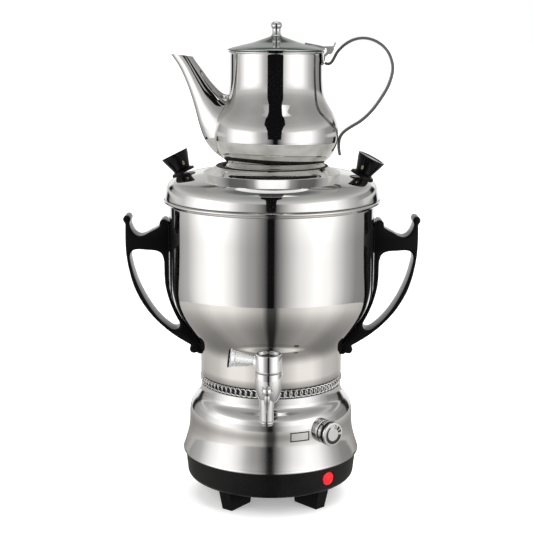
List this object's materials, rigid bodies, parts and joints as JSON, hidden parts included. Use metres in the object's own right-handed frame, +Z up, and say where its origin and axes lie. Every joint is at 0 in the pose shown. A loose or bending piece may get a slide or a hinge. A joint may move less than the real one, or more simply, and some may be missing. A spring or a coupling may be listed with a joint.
{
  "type": "electric samovar",
  "caption": "Electric samovar: a polished steel urn with a turning tap, side handles and lift-off lid, a thermostat base on feet, and a gooseneck teapot standing on top.",
  "frame": {"origin": "on the urn axis, in the plane its four feet stand on", "axes": "+Z up along the urn axis, the tap points to -Y, the two handles lie along X with the teapot spout to -X"},
  "size_m": [0.2814, 0.2282, 0.4561],
  "materials": {
    "polished_steel": "mirror-polished stainless steel",
    "satin_steel": "satin stainless steel",
    "black_handle": "glossy moulded black plastic",
    "black_base": "satin moulded black plastic",
    "red_lens": "clear red moulded lens",
    "dark_rubber": "silicone sealing rubber",
    "brass_parts": "turned brass",
    "aluminium_plate": "cast aluminium, as cast",
    "pale_insulation": "heat-proof pale moulding and lead insulation",
    "dial_face": "satin metal face with black print"
  },
  "bodies": {
    "urn": {"feet": "black_base", "base_pan": "black_base", "bottom_cover": "black_base", "cover_screws": "satin_steel", "foot_screws": "satin_steel", "base_shell": "polished_steel", "trim_band": "polished_steel", "front_badge": "satin_steel", "urn_body": "polished_steel", "handle_right": "black_handle", "handle_left": "black_handle", "handle_screws": "satin_steel", "handle_seals": "dark_rubber", "heater_plate": "aluminium_plate", "heating_element": "satin_steel", "thermal_cutout": "pale_insulation", "tie_rod": "satin_steel", "tie_nut": "satin_steel", "thermostat": "pale_insulation", "thermostat_collar": "polished_steel", "pilot_lens": "red_lens", "pilot_lamp": "pale_insulation", "power_inlet": "black_handle", "inlet_pins": "brass_parts", "inlet_screws": "satin_steel", "terminal_block": "pale_insulation", "wiring": "pale_insulation", "tap_rosette": "polished_steel", "tap_body": "polished_steel", "tap_nozzle": "polished_steel", "tap_ornament": "polished_steel", "tap_seal": "dark_rubber", "tap_nut": "brass_parts"},
    "thermostat_dial": {"thermostat_shaft": "satin_steel", "thermostat_knob": "polished_steel", "knob_band": "black_handle", "knob_dial": "dial_face"},
    "tap_valve": {"tap_plug": "brass_parts", "tap_rotor": "polished_steel", "tap_lever": "polished_steel", "lever_cap": "black_handle"},
    "urn_lid": {"lid_shell": "polished_steel", "lid_seat_ring": "satin_steel", "lid_knob_flanges": "black_handle", "lid_knob_right": "black_handle", "lid_knob_left": "black_handle", "lid_knob_screws": "satin_steel"},
    "teapot": {"teapot_body": "polished_steel", "teapot_foot": "polished_steel", "teapot_spout": "polished_steel", "teapot_handle": "polished_steel", "hinge_bracket": "polished_steel", "hinge_pin": "satin_steel"},
    "teapot_cover": {"teapot_lid": "polished_steel", "lid_finial": "polished_steel", "hinge_strap": "polished_steel"}
  },
  "joints": [
    {"name": "urn_lid_lift", "type": "slide", "parent": "urn", "child": "urn_lid", "axis": [0, 0, 1], "range_m": [0, 0.15]},
    {"name": "teapot_lift", "type": "slide", "parent": "urn_lid", "child": "teapot", "axis": [0, 0, 1], "range_m": [0, 0.12]},
    {"name": "teapot_lid_hinge", "type": "hinge", "parent": "teapot", "child": "teapot_cover", "pos_m": [0.0525, 0, 0.429], "axis": [0, 1, 0], "range_deg": [0, 30]},
    {"name": "tap_lever_turn", "type": "hinge", "parent": "urn", "child": "tap_valve", "pos_m": [-0.0026, -0.108, 0.16], "axis": [0, 0, 1], "range_deg": [0, 90]},
    {"name": "thermostat_turn", "type": "hinge", "parent": "urn", "child": "thermostat_dial", "pos_m": [0.05079, -0.06915, 0.0827], "axis": [0.592, -0.8059, 0], "range_deg": [0, 270]}
  ]
}
